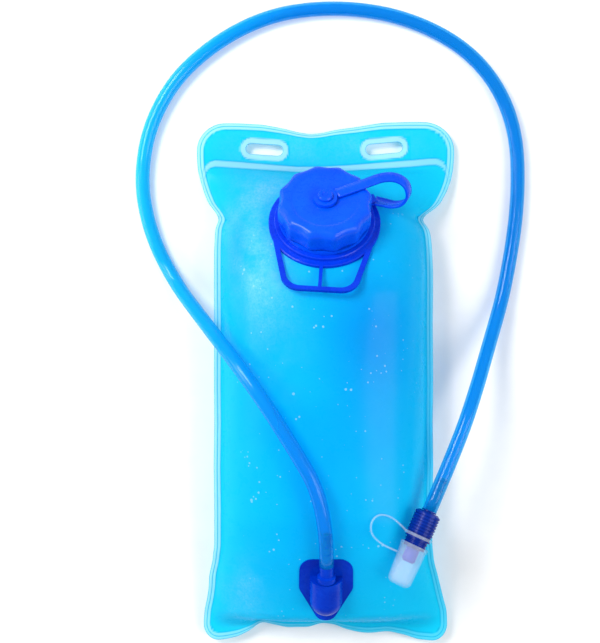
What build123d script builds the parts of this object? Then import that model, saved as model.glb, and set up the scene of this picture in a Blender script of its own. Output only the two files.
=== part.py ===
from build123d import *
import os
from math import cos, pi, radians, sin, tan

# A two litre hydration bladder, filled, lying on its back on a flat surface.
# X runs across it, +Y towards the hanging header, +Z away from the surface.
# All sizes are in millimetres. The origin is under the middle of the bladder.

# ---- film bag ----
FILM = 0.8  # modelled film thickness
WELD = 5.0  # width of the welded rim
FACE_GAP = 0.03  # the moulded flanges stand this far off the film
END_WALL = 0.6  # film left between the chamber and the flat welds at its ends
HEADER_START = 150.5  # where the header weld closes the water chamber
HEADER_LENGTH = 34.3
HEADER_HALF = 92.0
HEADER_CORNER = 18.0
HEADER_DIP = 4.0  # how far the top edge dips in its middle
TAIL_START = -174.5  # where the bottom weld closes the water chamber
TAIL_HALF = 87.0
TAIL_EDGE = 6.0  # how far the bottom edge stands past the chamber in its middle
TAIL_LOBE = 11.8  # and at its corners
SLOT_SPACING = 86.0
SLOT_LENGTH = 26.5
SLOT_WIDTH = 7.6
SLOT_Y = 165.5

# ---- neck, on a face of the bag that leans towards the header ----
NECK_X = -1.0
NECK_Y = 109.1
NECK_Z = 40.0
NECK_TILT = 34.0
NECK_YAW = -4.0
FLANGE_R = 38.5
FLANGE_T = 2.6
SHOULDER_R = 34.6
SHOULDER_TOP = 5.3
NECK_R = 26.6
NECK_BORE_R = 24.6
NECK_TOP = 21.8
THREAD_PITCH = 4.5
THREAD_DEPTH = 1.3
THREAD_START = 12.3
THREAD_TURNS = 1.6
HANDLE_REACH = 58.5
HANDLE_HALF = 24.0
HANDLE_BAR = 3.2
HANDLE_CORNER = 13.0
HANDLE_RIB = 2.4
HANDLE_T = 2.4

# ---- cap ----
CAP_R = 32.6
CAP_LOBES = 12
CAP_FLUTE_R = 40.0
CAP_FLUTE_DEPTH = 1.9
CAP_RIM = 9.6
CAP_TOP = 26.0
CAP_TOP_T = 2.6
CAP_WALL_R = 28.6
CAP_ROUND = 3.2
SEAL_T = 1.4
BUTTON_STEM_R = 3.0
BUTTON_HEAD_R = 5.0

# ---- tether ----
STRAP_W = 7.4
STRAP_T = 1.8
STRAP_AZIMUTH = 29.0
EYELET_R = 8.0
EYELET_T = 2.2
LOOP_R = 10.2
LOOP_CENTRE = 52.0
RING_LOW = 5.6
RING_HIGH = 8.2
RING_R = 31.4
EAR_REACH = 39.0

# ---- outlet port, on a face of the bag that leans towards the bottom ----
PORT_Y = -143.0
PORT_Z = 40.0
PORT_TILT = 20.0
PORT_T = 1.4
HOOD_R = 11.2
HOOD_AXIS = 8.2
HOOD_MOUTH = 12.0
HOOD_BACK = -5.0
SOCKET_R = 5.0

# ---- hose ----
HOSE_R = 5.0
HOSE_BORE_R = 3.3
HOSE_CORNER_SHARE = 0.45
STEM_R = 2.9
STEM_BORE_R = 1.9
HOSE_START = 24.3  # along the port connector, from the port's middle
PORT_BARB_LENGTH = 24.0

# ---- drinking valve ----
VALVE_POINT = (74.25, -78.5, 47.0)
VALVE_WAY = (-25.95, -57.3, 7.0)
HOSE_END = 9.5  # along the valve's axis
VALVE_BARB_LENGTH = 24.0
BODY_R = 8.9
NOZZLE_R = 4.75
NOZZLE_TRAVEL = 5.0
DUST_CAP_START = 34.6
DUST_CAP_END = 63.5
CAP_RING_LOW = 27.3  # the dust cap's ring sits in the groove between these heights
CAP_RING_HIGH = 29.3
CAP_RING_R = 10.1
PIN_R = 1.6


def neck_face(y):
    """Height of the flat face that the neck's flange is welded to."""
    return NECK_Z - (y - NECK_Y) * tan(radians(NECK_TILT)) - FACE_GAP


def port_face(y):
    """Height of the flat face that the outlet port is welded to."""
    return PORT_Z + (y - PORT_Y) * tan(radians(PORT_TILT)) - FACE_GAP


# One row for each cross-section of the bag, from the header weld to the bottom weld:
# y, height of the welded rim, half width over the rim, half width and height of the
# level crown, half width and height of the level underside.
SECTIONS = [
    (HEADER_START, 6.0, 91.5, 34, 7.0, 34, 5.1),
    (140.6, 7.5, 89.5, 32, neck_face(140.6), 34, 3.2),
    (128.0, 11.0, 83.5, 36, neck_face(128.0), 30, 1.0),
    (114.0, 16.5, 72.0, 39, neck_face(114.0), 26, 0.0),
    (105.0, 20.0, 74.5, 39, neck_face(105.0), 22, 0.0),
    (77.6, 25.0, 76.7, 27, neck_face(77.6), 18, 0.0),
    (62.0, 26.0, 76.7, 20, 66.0, 16, 0.0),
    (40.0, 26.0, 76.7, 18, 66.5, 16, 0.0),
    (0.0, 26.0, 76.7, 16, 63.5, 16, 0.0),
    (-60.0, 26.0, 76.7, 15, 60.0, 15, 0.0),
    (-95.0, 25.0, 76.7, 17, 56.0, 16, 0.0),
    (-119.5, 22.0, 77.5, 22, port_face(-119.5), 20, 0.0),
    (-146.0, 15.0, 83.0, 23, port_face(-146.0), 26, 0.0),
    (-166.0, 9.5, 87.0, 22, port_face(-166.0), 30, 3.5),
    (TAIL_START, 8.0, 87.0, 24, 9.0, 34, 7.1),
]

# The hose's route as straight runs, from the port connector to the valve.
HOSE_ROUTE = [
    (0.0, -122.97, 56.02), (0.0, -79.74, 71.75), (-27.0, -34.0, 72.5), (-53.0, 5.0, 70.0),
    (-84.0, 41.0, 35.0), (-109.0, 71.0, 5.2), (-126.0, 106.0, 5.2), (-133.0, 145.0, 5.2),
    (-125.0, 188.0, 5.2), (-99.0, 228.0, 5.2), (-48.0, 261.0, 5.2), (8.0, 269.0, 5.2),
    (63.0, 260.0, 5.2), (110.0, 233.0, 5.2), (137.0, 188.0, 5.2), (140.0, 130.0, 5.2),
    (130.0, 66.0, 5.2), (116.0, 24.0, 16.0), (104.0, -8.0, 33.0), (90.6, -42.3, 42.6),
    (70.36, -87.1, 48.05),
]

# ---- local frames ----
tilt, yaw = radians(NECK_TILT), radians(NECK_YAW)
neck = Plane(
    origin=(NECK_X, NECK_Y, NECK_Z),
    x_dir=(cos(yaw), sin(yaw) * cos(tilt), -sin(yaw) * sin(tilt)),
    z_dir=(0, sin(tilt), cos(tilt)),
)
port_tilt = radians(PORT_TILT)
port = Plane(
    origin=(0, PORT_Y, PORT_Z),
    x_dir=(1, 0, 0),
    z_dir=(0, -sin(port_tilt), cos(port_tilt)),
)
valve_axis = Vector(*VALVE_WAY).normalized()
# The dust cap's loop leaves the valve this way: towards the bag's middle, a little upwards.
loop_way = Vector(-0.911, 0.413, 0.2)
valve = Plane(
    origin=VALVE_POINT,
    x_dir=loop_way - valve_axis * loop_way.dot(valve_axis),
    z_dir=valve_axis,
)


def turned(points):
    """A solid of revolution about local Z from (radius, height) points."""
    outline = Polyline(*[(r, 0, h) for r, h in points], close=True)
    return revolve(make_face(outline), Axis.Z)


def disc(radius, low, high):
    return Pos(0, 0, low) * Cylinder(
        radius, high - low, align=(Align.CENTER, Align.CENTER, Align.MIN)
    )


def ring(outer, inner, low, high):
    return disc(outer, low, high) - disc(inner, low - 1, high + 1)


def along(plane, part):
    return plane.location * part


def save(name, part):
    part.label = name
    export_step(part, f"parts/{name}.step")


def closed_face(shapes):
    """The face inside a closed chain of lines and arcs."""
    return make_face(Wire([edge for shape in shapes for edge in shape.edges()]))


# ---- film bag ----
def crown_outline(row, side, inset, drop):
    """One cross-section of a film's chamber: rim corner, arc, level crown, arc, rim corner.

    inset thins it for the hollow inside; drop carries that hollow past the rim's plane."""
    y, seam, half, crown_half, crown, keel_half, keel = row
    flat, top = (crown_half, crown) if side > 0 else (keel_half, keel)
    foot = half - WELD - inset
    base = seam + side * (FILM - inset)
    top = top - side * inset
    least = 0.15
    if side * (top - base) < least:
        top = base + side * least
    left, right = Vector(-flat, y, top), Vector(flat, y, top)
    arcs = [
        TangentArc(left, Vector(-foot, y, base), tangent=(-1, 0, 0)),
        TangentArc(right, Vector(foot, y, base), tangent=(1, 0, 0)),
    ]
    if drop:
        low = seam - side * drop
        ends = [Vector(-foot, y, base), Vector(-foot, y, low), Vector(foot, y, low)]
        ends += [Vector(foot, y, base)]
    else:
        ends = [Vector(-foot, y, base), Vector(-half, y, base), Vector(-half, y, seam)]
        ends += [Vector(half, y, seam), Vector(half, y, base), Vector(foot, y, base)]
    lines = [Line(a, b) for a, b in zip(ends, ends[1:])]
    return closed_face([*arcs, Line(left, right), *lines])


def header_outline():
    start, top = HEADER_START, HEADER_START + HEADER_LENGTH
    corners = [(-HEADER_HALF, start), (-HEADER_HALF, top), (-0.45 * HEADER_HALF, top + 0.5)]
    corners += [(0, top - HEADER_DIP), (0.45 * HEADER_HALF, top + 0.5)]
    corners += [(HEADER_HALF, top), (HEADER_HALF, start)]
    face = make_face(Polyline(*corners, close=True))
    tips = [v for v in face.vertices() if abs(v.X) > 0.9 * HEADER_HALF and v.Y > start + 1]
    return fillet(tips, HEADER_CORNER)


def tail_outline():
    corners = [(-TAIL_HALF, TAIL_START), (-TAIL_HALF, TAIL_START - TAIL_LOBE)]
    corners += [(-0.6 * TAIL_HALF, TAIL_START - TAIL_EDGE - 1.5), (0, TAIL_START - TAIL_EDGE)]
    corners += [(0.6 * TAIL_HALF, TAIL_START - TAIL_EDGE - 1.5)]
    corners += [(TAIL_HALF, TAIL_START - TAIL_LOBE), (TAIL_HALF, TAIL_START)]
    face = make_face(Polyline(*corners, close=True))
    return fillet([v for v in face.vertices() if v.Y < TAIL_START - TAIL_LOBE + 0.1], 8)


def film(side):
    """One sheet of the bag: side 1 is the front, side -1 the back."""
    shell = loft([crown_outline(row, side, 0, 0) for row in SECTIONS], ruled=True)
    first, last = SECTIONS[0], SECTIONS[-1]
    hollow = [(first[0] - END_WALL, *first[1:]), *SECTIONS[1:-1], (last[0] + END_WALL, *last[1:])]
    shell -= loft([crown_outline(row, side, FILM, 2) for row in hollow], ruled=True)
    header = extrude(header_outline(), FILM * side)
    tail = extrude(tail_outline(), FILM * side)
    sheet = shell + Pos(0, 0, SECTIONS[0][1]) * header + Pos(0, 0, SECTIONS[-1][1]) * tail
    slot = extrude(SlotOverall(SLOT_LENGTH, SLOT_WIDTH), 6, both=True)
    for x in (-SLOT_SPACING / 2, SLOT_SPACING / 2):
        sheet -= Pos(x, SLOT_Y, SECTIONS[0][1]) * slot
    if side > 0:
        sheet -= along(neck, disc(NECK_BORE_R, -6, 6))
        sheet -= along(port, Pos(0, -4, 0) * disc(SOCKET_R, -6, 6))
    return sheet


# ---- neck ----
def thread(radius, depth, start, turns, outwards):
    """A screw ridge; its root is sunk into the wall that carries it."""
    sink, wide, narrow = 0.4, 1.1, 0.45
    way = 1 if outwards else -1
    helix = Pos(0, 0, start) * Helix(THREAD_PITCH, THREAD_PITCH * turns, radius)
    profile = Plane(origin=helix @ 0, x_dir=(way, 0, 0), z_dir=helix % 0) * make_face(
        Polyline((-sink, -wide), (depth, -narrow), (depth, narrow), (-sink, wide), close=True)
    )
    return sweep(profile, path=helix, is_frenet=True)


def handle_frame():
    """The stiff loop that is gripped while the cap is turned."""
    def loop(inset):
        reach, half, wide = HANDLE_REACH - inset, HANDLE_HALF - inset, FLANGE_R - inset
        corners = [(-wide, 0), (-half, -reach), (half, -reach), (wide, 0)]
        face = make_face(Polyline(*corners, close=True))
        return fillet([v for v in face.vertices() if v.Y < -1], HANDLE_CORNER - inset)

    window = loop(HANDLE_BAR) - Circle(FLANGE_R - 0.6)
    window -= Pos(0, -HANDLE_REACH / 2) * Rectangle(HANDLE_RIB, HANDLE_REACH)
    frame = loop(0) - window - Circle(FLANGE_R - 2)
    return Pos(0, 0, 0.3) * extrude(frame, HANDLE_T)


def spout():
    profile = [(NECK_BORE_R, 0), (FLANGE_R, 0), (FLANGE_R, FLANGE_T - 0.4)]
    profile += [(FLANGE_R - 0.6, FLANGE_T), (SHOULDER_R + 0.3, FLANGE_T + 0.2)]
    profile += [(SHOULDER_R, SHOULDER_TOP - 0.5), (SHOULDER_R - 0.6, SHOULDER_TOP)]
    profile += [(NECK_R, SHOULDER_TOP), (NECK_R, NECK_TOP - 0.6), (NECK_R - 0.6, NECK_TOP)]
    profile += [(NECK_BORE_R, NECK_TOP)]
    body = turned(profile)
    body += thread(NECK_R, THREAD_DEPTH, THREAD_START, THREAD_TURNS, True)
    return along(neck, body + handle_frame())


# ---- cap ----
def cap():
    rim = CAP_ROUND
    shape = [(0, CAP_RIM), (CAP_R, CAP_RIM), (CAP_R, CAP_TOP - rim)]
    shape += [(CAP_R - 0.5, CAP_TOP - 0.5 * rim), (CAP_R - 1.5, CAP_TOP - 0.17 * rim)]
    shape += [(CAP_R - rim, CAP_TOP), (0, CAP_TOP)]
    flute = Pos(CAP_R + CAP_FLUTE_R - CAP_FLUTE_DEPTH, 0) * Circle(CAP_FLUTE_R)
    outline = Circle(CAP_R)
    outline -= [Rot(0, 0, 360 / CAP_LOBES * n) * flute for n in range(CAP_LOBES)]
    body = turned(shape) & Pos(0, 0, CAP_RIM - 1) * extrude(outline, CAP_TOP)
    body -= disc(CAP_WALL_R, CAP_RIM - 1, CAP_TOP - CAP_TOP_T)
    body -= disc(BUTTON_STEM_R + 0.1, 0, CAP_TOP + 1)
    start = THREAD_START - THREAD_PITCH / 2 + 0.3
    body += thread(CAP_WALL_R, THREAD_DEPTH, start, THREAD_TURNS, False)
    return along(neck, body)


def cap_seal():
    top = CAP_TOP - CAP_TOP_T
    return along(neck, ring(CAP_WALL_R - 0.2, NECK_BORE_R - 0.8, top - SEAL_T, top))


def cap_button():
    """The rivet that holds the tether's eyelet on the cap and lets it swivel."""
    head = CAP_TOP + EYELET_T + 0.7
    top = CAP_TOP - CAP_TOP_T
    catch = BUTTON_STEM_R + 0.8
    profile = [(0, top - 2), (2.2, top - 2), (catch, top - 0.6), (catch, top)]
    profile += [(BUTTON_STEM_R, top), (BUTTON_STEM_R, head), (BUTTON_HEAD_R, head)]
    profile += [(BUTTON_HEAD_R, head + 1.2), (BUTTON_HEAD_R - 0.8, head + 2), (2.2, head + 2)]
    profile += [(1.8, head + 1.4), (0, head + 1.4)]
    return along(neck, turned(profile))


# ---- tether ----
def tether_eyelet():
    low = CAP_TOP + 0.35
    return along(neck, ring(EYELET_R, BUTTON_STEM_R + 0.5, low, low + EYELET_T))


def strap_plane():
    """Runs out from the neck's axis at the strap's azimuth; its local y is along the axis."""
    return neck * Rot(0, 0, STRAP_AZIMUTH) * Rot(90, 0, 0)


def tether_strap():
    high = CAP_TOP + 0.35 + EYELET_T / 2
    low = high - 2 * LOOP_R
    loop = CenterArc((LOOP_CENTRE, high - LOOP_R), LOOP_R, -90, 180)
    path = Line((EYELET_R + 0.4, high), (LOOP_CENTRE, high)) + loop
    path += Line((EAR_REACH + 0.3, low), (LOOP_CENTRE, low))
    return extrude(strap_plane() * trace(path, STRAP_T), STRAP_W / 2, both=True)


def tether_ring():
    body = ring(RING_R, NECK_R + 0.1, RING_LOW, RING_HIGH)
    on_its_end = (Align.MIN, Align.CENTER, Align.MIN)
    ear = Box(EAR_REACH - RING_R + 1, STRAP_W, RING_HIGH - RING_LOW, align=on_its_end)
    body += Rot(0, 0, STRAP_AZIMUTH) * Pos(RING_R - 1, 0, RING_LOW) * ear
    return along(neck, body)


# ---- outlet port ----
def outlet_port():
    corners = [(x, y, 9) for x, y in ((-9.4, 15.5), (9.4, 15.5), (-9.6, 4), (9.6, 4))]
    corners.append((0, -16, 8))
    rounds = [Pos(x, y) * Circle(r) for x, y, r in corners]
    shield = make_hull([edge for circle in rounds for edge in circle.edges()])
    body = extrude(shield, PORT_T, dir=(0, 0, 1))
    length = HOOD_MOUTH - HOOD_BACK
    on_its_top = (Align.CENTER, Align.CENTER, Align.MAX)
    barrel = Rot(90, 0, 0) * Cylinder(HOOD_R, length, align=on_its_top)
    rise = HOOD_R / 3
    hood = Pos(0, HOOD_BACK, rise) * barrel + Pos(0, HOOD_BACK, rise) * Sphere(HOOD_R)
    hood &= Pos(0, 0, 0.2) * Box(60, 80, 40, align=(Align.CENTER, Align.CENTER, Align.MIN))
    body += hood
    body -= Pos(0, -7, HOOD_AXIS) * socket_bar(SOCKET_R, HOOD_MOUTH + 8)
    body -= Pos(0, -4, 0) * disc(SOCKET_R - 1, -1, HOOD_AXIS)
    return along(port, body)


def socket_bar(radius, length):
    """A bar from the local origin along local Y."""
    on_its_end = (Align.CENTER, Align.CENTER, Align.MIN)
    return Rot(-90, 0, 0) * Cylinder(radius, length, align=on_its_end)


def barbed(stem, crest, start, end, barbs):
    """(radius, height) points of a barbed stem that ends at the height end."""
    points, step = [], (end - start) / barbs
    for n in range(barbs):
        low = start + n * step
        points += [(stem, low), (stem, low + 0.45 * step), (crest, low + 0.5 * step)]
        points += [(stem, low + 0.98 * step)]
    return points


def hose_connector():
    """Plugs into the hood; its collar stops at the mouth and the hose is pushed on its barbs."""
    collar = HOOD_MOUTH + 0.6
    plug = SOCKET_R - 0.1
    profile = [(STEM_BORE_R, -3), (plug, -3), (plug, 2), (plug - 1.5, 2), (plug - 1.5, 3.8)]
    profile += [(plug, 3.8), (plug, collar), (6.3, collar), (6.3, collar + 3.6)]
    profile += [(4.6, collar + 4.4), (4.6, HOSE_START - 0.1), (STEM_R, HOSE_START - 0.1)]
    end = HOSE_START + PORT_BARB_LENGTH
    profile += barbed(STEM_R, HOSE_BORE_R, HOSE_START, end, 4)
    profile += [(STEM_BORE_R, end)]
    return along(port, Pos(0, 0, HOOD_AXIS) * Rot(-90, 0, 0) * turned(profile))


def port_seal():
    o_ring = Torus(SOCKET_R - 0.75, 0.7)
    return along(port, Pos(0, 2.9, HOOD_AXIS) * Rot(-90, 0, 0) * o_ring)


# ---- hose ----
def hose_path():
    """Straight runs joined by the largest arcs that HOSE_CORNER_SHARE of each run allows."""
    points = [Vector(*p) for p in HOSE_ROUTE]
    pieces, at = [], points[0]
    for before, corner, after in zip(points, points[1:], points[2:]):
        come, go = corner - before, after - corner
        cut = HOSE_CORNER_SHARE * min(come.length, go.length)
        first, last = corner - come.normalized() * cut, corner + go.normalized() * cut
        half_turn = radians(come.get_angle(go)) / 2
        place = [round(v, 1) for v in corner]
        print("hose corner", place, "radius", round(cut / tan(half_turn), 1))
        pieces += [Line(at, first), TangentArc(first, last, tangent=come)]
        at = last
    pieces.append(Line(at, points[-1]))
    return Wire([edge for piece in pieces for edge in piece.edges()])


def drink_hose():
    path = hose_path()
    start = Plane(origin=path @ 0, z_dir=path % 0)
    tube = sweep(start * (Circle(HOSE_R) - Circle(HOSE_BORE_R)), path=path)
    section = pi * (HOSE_R**2 - HOSE_BORE_R**2)
    print("hose length", round(path.length, 1))
    print("hose volume", round(tube.volume), "section x length", round(section * path.length))
    return tube


# ---- valve ----
def valve_connector():
    stem = barbed(STEM_R, HOSE_BORE_R, 0, VALVE_BARB_LENGTH, 4)
    profile = [(STEM_BORE_R, HOSE_END - VALVE_BARB_LENGTH)]
    profile += [(r, HOSE_END - h) for r, h in reversed(stem)]
    flange, plug = HOSE_END + 0.1, HOSE_END + 1.0
    profile += [(STEM_R, flange), (5.2, flange), (5.2, plug), (3.9, plug), (3.9, 12.4)]
    profile.append((STEM_BORE_R, 12.4))
    return along(valve, turned(profile))


def valve_body():
    """Rear shoulder, ribbed grip, groove for the dust cap's ring, and the ridged nose."""
    outer = [(4.0, 10.7), (6.6, 10.7), (BODY_R, 12.2)]
    ribs, first, last = 7, 12.2, 26.9
    step = (last - first) / ribs
    for n in range(ribs):
        low = first + n * step
        outer += [(BODY_R, low + 0.62 * step), (BODY_R - 0.6, low + 0.72 * step)]
        outer += [(BODY_R - 0.6, low + 0.9 * step), (BODY_R, low + step)]
    outer += [(BODY_R, 27.1), (BODY_R - 0.8, 27.1), (BODY_R - 0.8, 29.5), (BODY_R, 29.5)]
    outer += [(BODY_R, 30.5), (7.4, 30.5)]
    for low in (31.6, 33.8):
        outer += [(7.4, low), (7.9, low + 0.4), (7.9, low + 0.9), (7.4, low + 1.3)]
    outer += [(7.4, 37.0), (NOZZLE_R + 0.35, 37.0)]
    floor = 13.9
    inner = [(NOZZLE_R + 0.35, 27.0), (6.9, 26.9), (6.9, floor), (4.0, floor)]
    body = turned(outer + inner)
    low = 12.6
    web = disc(4.5, low, floor)
    for n in range(4):
        web -= Rot(0, 0, 90 * n) * Pos(2.9, 0, 8) * Cylinder(0.9, 14)
    pin = turned([(0, low), (PIN_R, low), (PIN_R, 44), (PIN_R - 0.5, 46.4), (0, 46.4)])
    return along(valve, body + web + pin)


def nozzle():
    """Slides out of the nose to open; its tip seats on the body's pin when it is in."""
    profile = [(3.0, 14), (4.9, 14), (6.4, 14), (6.4, 16), (5.3, 16), (5.3, 17.8), (6.4, 17.8)]
    profile += [(6.4, 26.3 - NOZZLE_TRAVEL), (NOZZLE_R, 26.8 - NOZZLE_TRAVEL)]
    profile += [(NOZZLE_R, 45.4), (NOZZLE_R - 1.2, 47)]
    profile += [(1.75, 47), (1.75, 45.2), (3.0, 43.4)]
    return along(valve, turned(profile))


def nozzle_seal():
    return along(valve, Pos(0, 0, 16.9) * Torus(6.05, 0.72))


def dust_cap_ring():
    return along(valve, ring(CAP_RING_R, BODY_R - 0.7, CAP_RING_LOW, CAP_RING_HIGH))


def dust_cap_tether():
    points = [(10.4, 28.2), (18, 25.4), (26.2, 25.3), (32.1, 28.2), (33.4, 33.9), (29.5, 39.2)]
    points += [(22.9, 42.3), (10.3, 43.4)]
    flat = Rot(90, 0, 0) * trace(Spline(*points), 1.6)
    return along(valve, extrude(flat, 0.7, both=True))


def dust_cap():
    top = DUST_CAP_END
    profile = [(8.3, DUST_CAP_START), (9.7, DUST_CAP_START), (9.7, 37), (9.3, 38), (8.3, top - 3)]
    profile += [(7.4, top - 1), (5.6, top), (0, top), (0, top - 1.4), (5.2, top - 1.4)]
    profile += [(7.0, top - 3.6), (8.1, 40)]
    return along(valve, turned(profile))


PIECES = {
    "front_film": lambda: film(1),
    "back_film": lambda: film(-1),
    "spout": spout,
    "cap": cap,
    "cap_seal": cap_seal,
    "cap_button": cap_button,
    "tether_eyelet": tether_eyelet,
    "tether_strap": tether_strap,
    "tether_ring": tether_ring,
    "outlet_port": outlet_port,
    "hose_connector": hose_connector,
    "port_seal": port_seal,
    "drink_hose": drink_hose,
    "valve_connector": valve_connector,
    "valve_body": valve_body,
    "nozzle": nozzle,
    "nozzle_seal": nozzle_seal,
    "dust_cap_ring": dust_cap_ring,
    "dust_cap_tether": dust_cap_tether,
    "dust_cap": dust_cap,
}

os.makedirs("parts", exist_ok=True)
for piece_name, make in PIECES.items():
    save(piece_name, make())
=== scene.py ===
import math

import bpy
import numpy as np
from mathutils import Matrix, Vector


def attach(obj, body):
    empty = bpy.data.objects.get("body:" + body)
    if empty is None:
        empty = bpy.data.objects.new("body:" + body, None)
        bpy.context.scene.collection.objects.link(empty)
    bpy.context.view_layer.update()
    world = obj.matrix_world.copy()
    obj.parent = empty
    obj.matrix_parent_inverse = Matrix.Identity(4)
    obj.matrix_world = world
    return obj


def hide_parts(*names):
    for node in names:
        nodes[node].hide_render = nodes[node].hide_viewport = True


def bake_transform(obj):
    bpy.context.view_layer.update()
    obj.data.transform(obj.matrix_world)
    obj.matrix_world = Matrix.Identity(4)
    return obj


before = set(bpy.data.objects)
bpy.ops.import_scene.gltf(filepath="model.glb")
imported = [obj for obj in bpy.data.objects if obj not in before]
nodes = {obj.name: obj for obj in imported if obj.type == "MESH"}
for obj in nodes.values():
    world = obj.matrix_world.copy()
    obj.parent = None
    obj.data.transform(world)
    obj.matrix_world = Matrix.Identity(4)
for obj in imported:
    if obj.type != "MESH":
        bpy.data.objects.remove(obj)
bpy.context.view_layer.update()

MM = 0.001

# ---------------------------------------------------------------- camera, light and floor

EYE_HEIGHT = 0.800
EYE_X, EYE_Y = -0.01785, 0.04165
FOCAL_PIXELS, FRAME_PIXELS = 1104, 600
SENSOR_WIDTH = 36
NEAR_CLIP, FAR_CLIP = 0.01, 20
WORLD_STRENGTH = 0.4
# name, place, target, size in metres and watts
LIGHTS = [
    ("key", (-0.7, 0.6, 1.0), (0, 0.02, 0), 0.5, 13),
    ("fill", (0.9, -0.2, 0.9), (0, 0, 0), 0.8, 9),
    ("side", (-1.2, 0.1, 0.55), (0, 0.05, 0.03), 0.5, 5),
]
FLOOR_HALF = 3.0
FLOOR_DULL, FLOOR_BRIGHT = (0.93, 0.93, 0.93), (0.96, 0.96, 0.96)


def add_camera():
    data = bpy.data.cameras.new("camera")
    data.sensor_fit = "HORIZONTAL"
    data.sensor_width = SENSOR_WIDTH
    data.lens = SENSOR_WIDTH * FOCAL_PIXELS / FRAME_PIXELS
    data.clip_start, data.clip_end = NEAR_CLIP, FAR_CLIP
    camera = bpy.data.objects.new("camera", data)
    camera.location = (EYE_X, EYE_Y, EYE_HEIGHT)
    bpy.context.scene.collection.objects.link(camera)
    bpy.context.scene.camera = camera


def add_area_light(name, place, target, size, watts):
    data = bpy.data.lights.new(name, "AREA")
    data.size, data.energy = size, watts
    light = bpy.data.objects.new(name, data)
    light.location = place
    light.rotation_euler = (Vector(target) - Vector(place)).to_track_quat("-Z", "Y").to_euler()
    bpy.context.scene.collection.objects.link(light)


def add_world():
    world = bpy.data.worlds.new("studio")
    world.use_nodes = True
    background = world.node_tree.nodes["Background"]
    background.inputs["Color"].default_value = (1, 1, 1, 1)
    background.inputs["Strength"].default_value = WORLD_STRENGTH
    bpy.context.scene.world = world


def add_floor():
    mesh = bpy.data.meshes.new("floor")
    signs = [(-1, -1), (1, -1), (1, 1), (-1, 1)]
    mesh.from_pydata([(x * FLOOR_HALF, y * FLOOR_HALF, 0) for x, y in signs], [], [(0, 1, 2, 3)])
    floor = bpy.data.objects.new("floor", mesh)
    bpy.context.scene.collection.objects.link(floor)
    s = Shader("floor")
    p = s.principled(roughness=0.6, specular=0.2)
    grain = s.noise(60, 2)
    s.ramp(grain, [(0.3, FLOOR_DULL), (0.7, FLOOR_BRIGHT)], p.inputs["Base Color"])
    floor.data.materials.append(s.material)


# ---------------------------------------------------------------- materials

PLASTIC_IOR = 1.45


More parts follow.
